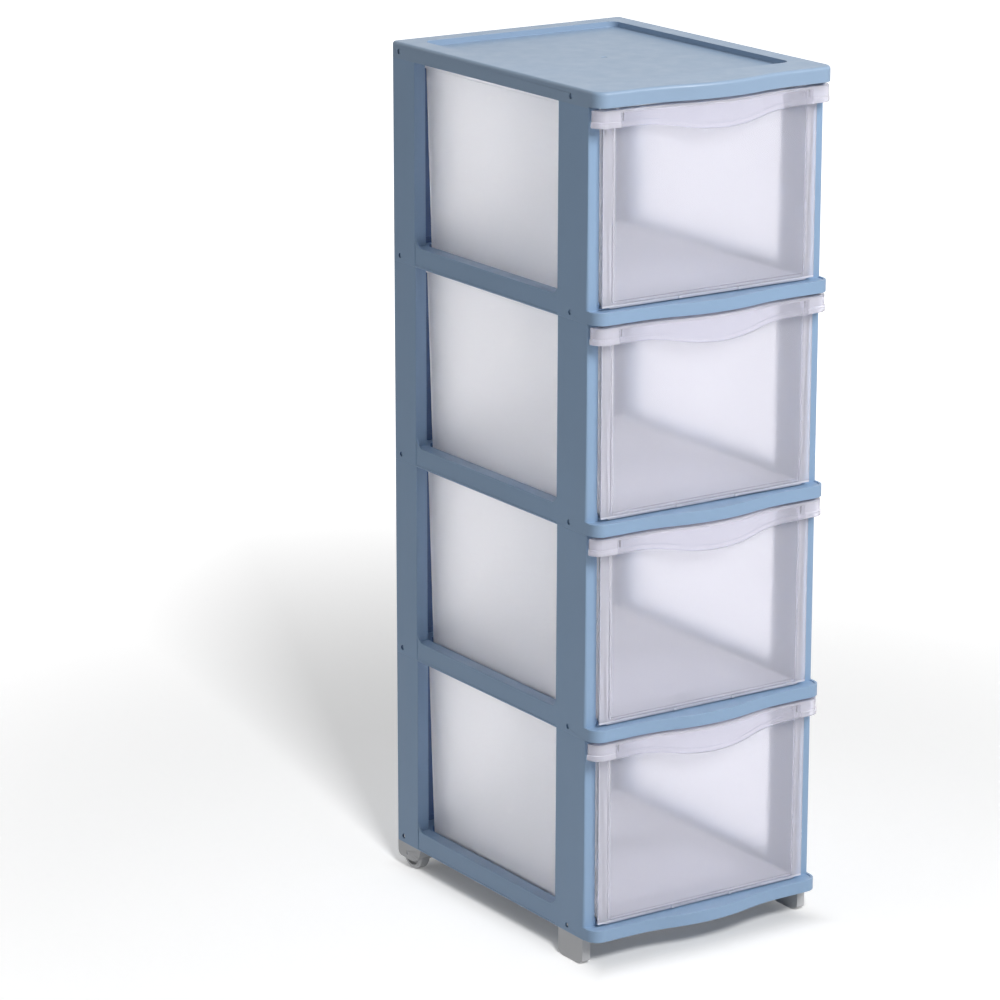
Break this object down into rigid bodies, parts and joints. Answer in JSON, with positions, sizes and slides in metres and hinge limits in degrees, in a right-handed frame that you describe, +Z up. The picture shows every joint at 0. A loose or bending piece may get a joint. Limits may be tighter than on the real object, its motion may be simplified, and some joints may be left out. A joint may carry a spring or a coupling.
{
  "type": "plastic drawer tower",
  "caption": "Free-standing plastic drawer tower: stacked open-sided frames with see-through pull-out drawers, bowed full-width grips, a tray-topped lid, front feet and rear wheels.",
  "frame": {"origin": "bottom centre of the tower's box, on the floor under the feet and wheels", "axes": "+Z up along the tower, the drawers pull out along -Y, +X to the right of someone facing the drawers"},
  "size_m": [0.268, 0.36, 0.843],
  "materials": {
    "frame_plastic": "satin",
    "drawer_plastic": "frosted translucent",
    "foot_plastic": "satin",
    "wheel_plastic": "satin",
    "axle_steel": "drawn wire"
  },
  "bodies": {
    "tower": {"lid": "frame_plastic", "frame_1": "frame_plastic", "frame_2": "frame_plastic", "frame_3": "frame_plastic", "frame_4": "frame_plastic", "foot_left": "foot_plastic", "foot_right": "foot_plastic", "housing_left": "foot_plastic", "housing_right": "foot_plastic", "axle_left": "axle_steel", "axle_right": "axle_steel"},
    "drawer_1": {"drawer_1": "drawer_plastic"},
    "drawer_2": {"drawer_2": "drawer_plastic"},
    "drawer_3": {"drawer_3": "drawer_plastic"},
    "drawer_4": {"drawer_4": "drawer_plastic"},
    "wheel_left": {"wheel_left": "wheel_plastic"},
    "wheel_right": {"wheel_right": "wheel_plastic"}
  },
  "joints": [
    {"name": "drawer_1_slide", "type": "slide", "parent": "tower", "child": "drawer_1", "axis": [0, -1, 0], "range_m": [0, 0.26]},
    {"name": "drawer_2_slide", "type": "slide", "parent": "tower", "child": "drawer_2", "axis": [0, -1, 0], "range_m": [0, 0.26]},
    {"name": "drawer_3_slide", "type": "slide", "parent": "tower", "child": "drawer_3", "axis": [0, -1, 0], "range_m": [0, 0.26]},
    {"name": "drawer_4_slide", "type": "slide", "parent": "tower", "child": "drawer_4", "axis": [0, -1, 0], "range_m": [0, 0.26]},
    {"name": "wheel_left_roll", "type": "hinge", "parent": "tower", "child": "wheel_left", "pos_m": [-0.12175, 0.1621, 0.0175], "axis": [1, 0, 0], "continuous": true},
    {"name": "wheel_right_roll", "type": "hinge", "parent": "tower", "child": "wheel_right", "pos_m": [0.12175, 0.1621, 0.0175], "axis": [1, 0, 0], "continuous": true}
  ]
}
